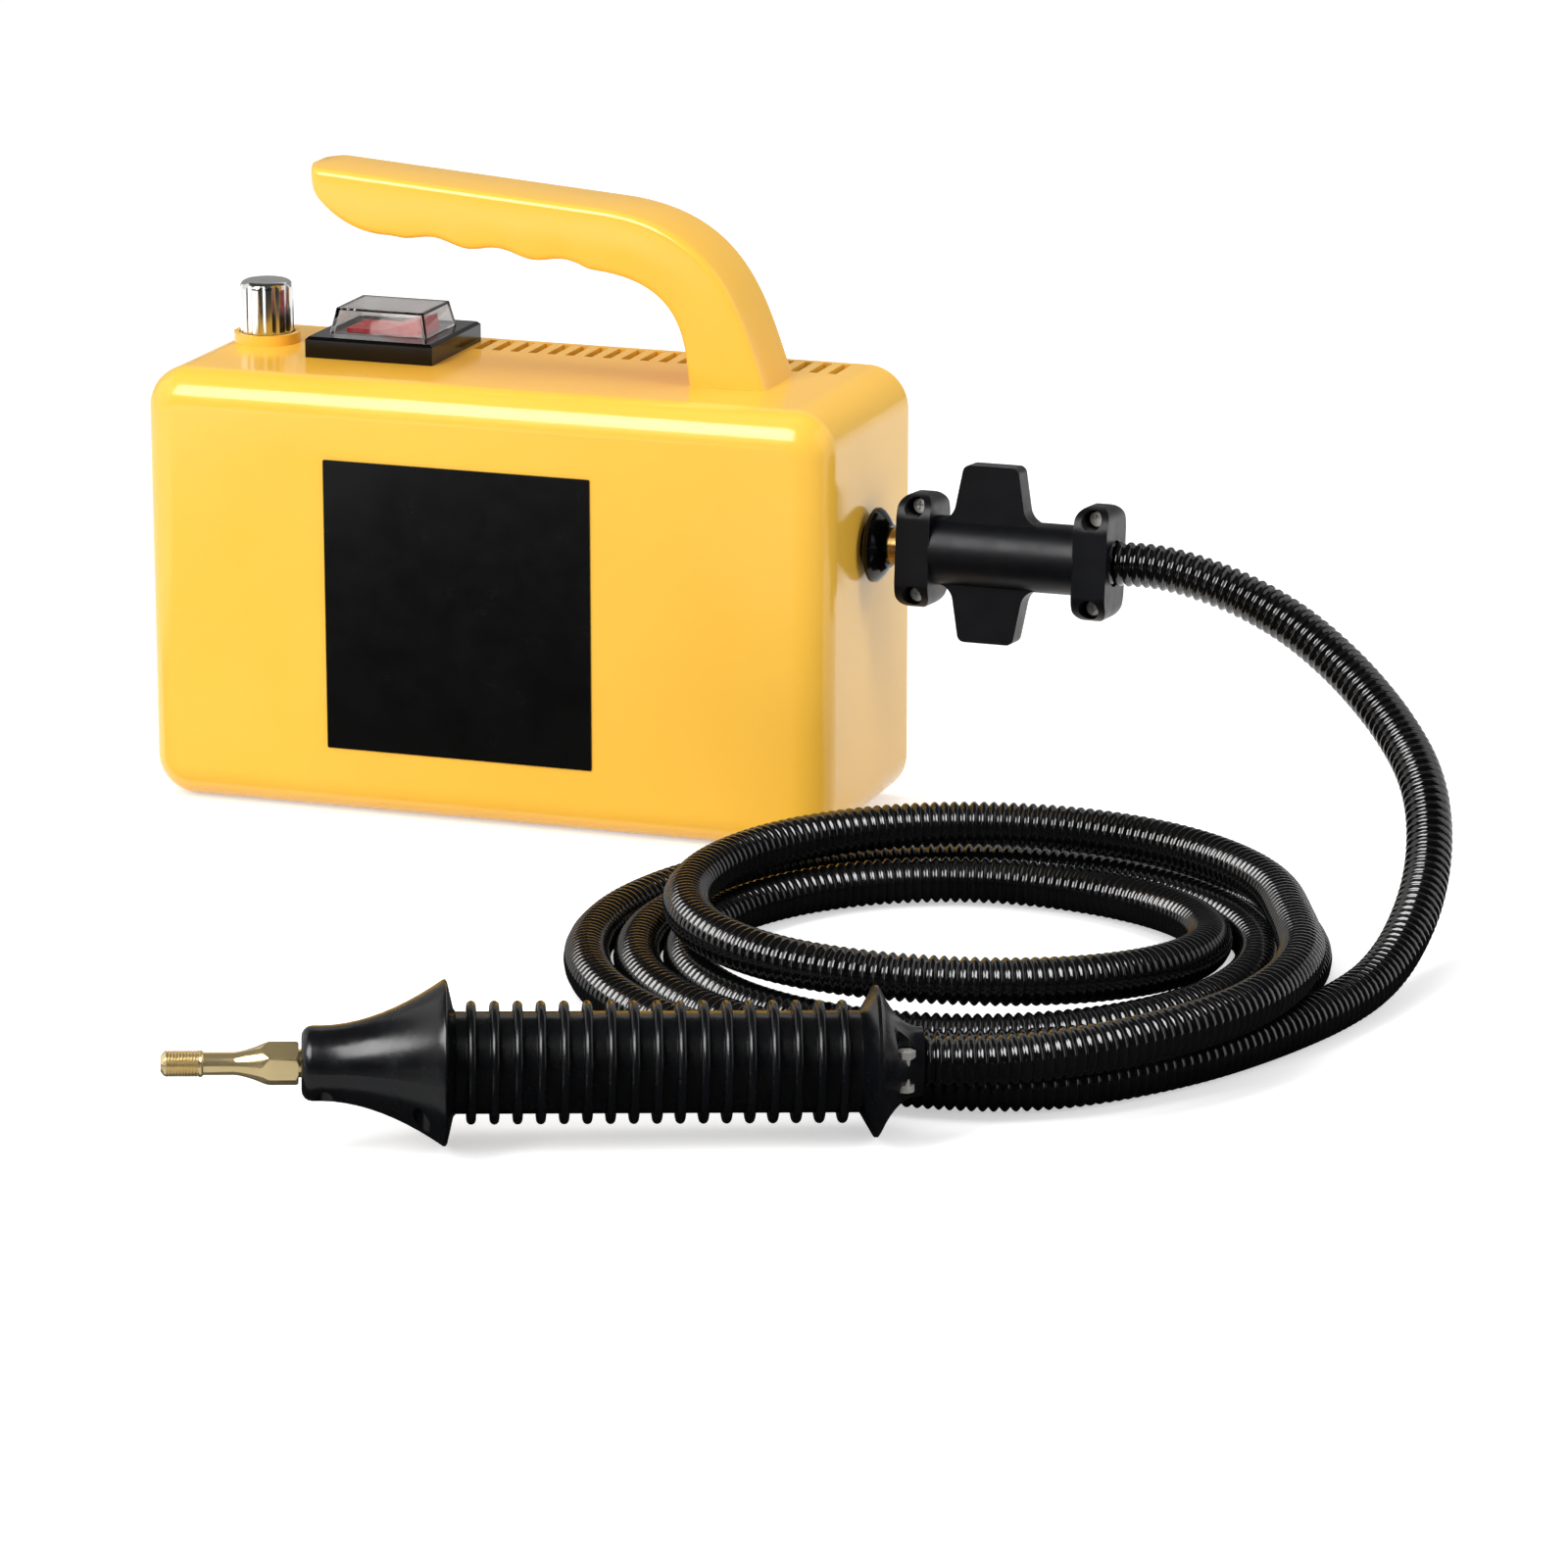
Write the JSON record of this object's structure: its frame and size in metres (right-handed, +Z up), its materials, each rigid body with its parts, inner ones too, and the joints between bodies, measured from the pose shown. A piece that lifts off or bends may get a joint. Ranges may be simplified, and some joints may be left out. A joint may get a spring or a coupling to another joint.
{
  "type": "portable steamer",
  "caption": "Portable steamer: box with carrying handle, speed knob, hooded rocker switch and screw coupling, ribbed hose laid in a coil, ribbed wand with brass nozzle.",
  "frame": {"origin": "middle of the flat underside of the case", "axes": "+X towards the outlet and hose side, +Y to the back of the case, +Z up"},
  "size_m": [0.4587, 0.4512, 0.2111],
  "materials": {
    "case_plastic": "glossy injection-moulded ABS",
    "black_gloss": "glossy black moulding",
    "black_satin": "satin black moulding",
    "plate_black": "printed polycarbonate sheet",
    "hose_black": "corrugated nylon",
    "red_plastic": "translucent red moulding",
    "clear_hood": "clear flexible vinyl",
    "chrome_plastic": "chromed moulding",
    "steel": "zinc-plated steel",
    "cast_alloy": "die-cast aluminium",
    "brass": "turned and polished brass",
    "ceramic": "ceramic and heat-proof moulding",
    "board_green": "coated circuit board",
    "parts_dark": "moulded components",
    "pump_plastic": "glass-filled nylon",
    "coil_wire": "enamelled copper winding",
    "silicone": "translucent silicone tube",
    "wire_sleeve": "insulated wire",
    "seal_rubber": "moulded seal"
  },
  "bodies": {
    "unit": {"front_shell": "case_plastic", "rear_cover": "case_plastic", "handle": "case_plastic", "cover_screws": "steel", "handle_screws": "steel", "label_plate": "plate_black", "switch_frame": "black_gloss", "switch_body": "parts_dark", "switch_terminals": "brass", "switch_hood": "clear_hood", "control_body": "steel", "control_nut": "steel", "control_board": "board_green", "board_parts": "parts_dark", "boiler": "cast_alloy", "heater_terminals": "ceramic", "boiler_bracket": "steel", "bracket_screws": "steel", "thermostat": "ceramic", "thermal_fuse": "ceramic", "pump_body": "pump_plastic", "pump_cap": "pump_plastic", "pump_coil": "coil_wire", "pump_yoke": "steel", "pump_bracket": "steel", "pump_spring": "steel", "water_inlet": "brass", "inlet_nut": "brass", "cable_gland": "black_satin", "gland_nut": "black_satin", "suction_tube": "silicone", "feed_tube": "silicone", "steam_tube": "silicone", "wiring": "wire_sleeve", "outlet_fitting": "brass", "outlet_collar": "black_gloss", "seal_washer": "seal_rubber", "hose_tail": "brass", "hose_lead": "hose_black", "hose_coil": "hose_black", "hose_end_run": "hose_black", "wand_upper_half": "black_satin", "wand_lower_half": "black_satin", "wand_screws": "steel", "wand_nuts": "steel", "wand_tube": "brass"},
    "knob": {"control_knob": "chrome_plastic", "control_shaft": "steel"},
    "rocker": {"switch_rocker": "red_plastic"},
    "coupling": {"union_nut": "brass", "coupling_front_half": "black_satin", "coupling_rear_half": "black_satin", "coupling_screws": "steel"},
    "nozzle": {"nozzle": "brass"},
    "plunger": {"pump_plunger": "steel"}
  },
  "joints": [
    {"name": "knob_turn", "type": "hinge", "parent": "unit", "child": "knob", "pos_m": [-0.098, 0.0145, 0.1475], "axis": [0, 0, 1], "range_deg": [-150, 150]},
    {"name": "rocker_tip", "type": "hinge", "parent": "unit", "child": "rocker", "pos_m": [-0.05232, 0.015, 0.1514], "axis": [0, 1, 0], "range_deg": [0, 16]},
    {"name": "coupling_turn", "type": "hinge", "parent": "unit", "child": "coupling", "pos_m": [0.1688, 0, 0.096], "axis": [1, 0, 0], "range_deg": [0, 2250]},
    {"name": "nozzle_turn", "type": "hinge", "parent": "unit", "child": "nozzle", "pos_m": [0.05746, -0.37515, 0.02458], "axis": [-0.9224, -0.3859, 0.0166], "range_deg": [0, 1620]},
    {"name": "plunger_slide", "type": "slide", "parent": "unit", "child": "plunger", "axis": [0, 0, 1], "range_m": [0, 0.004], "stiffness_N_per_m": 400, "springref_m": -0.004, "deforming": ["pump_spring"]}
  ]
}
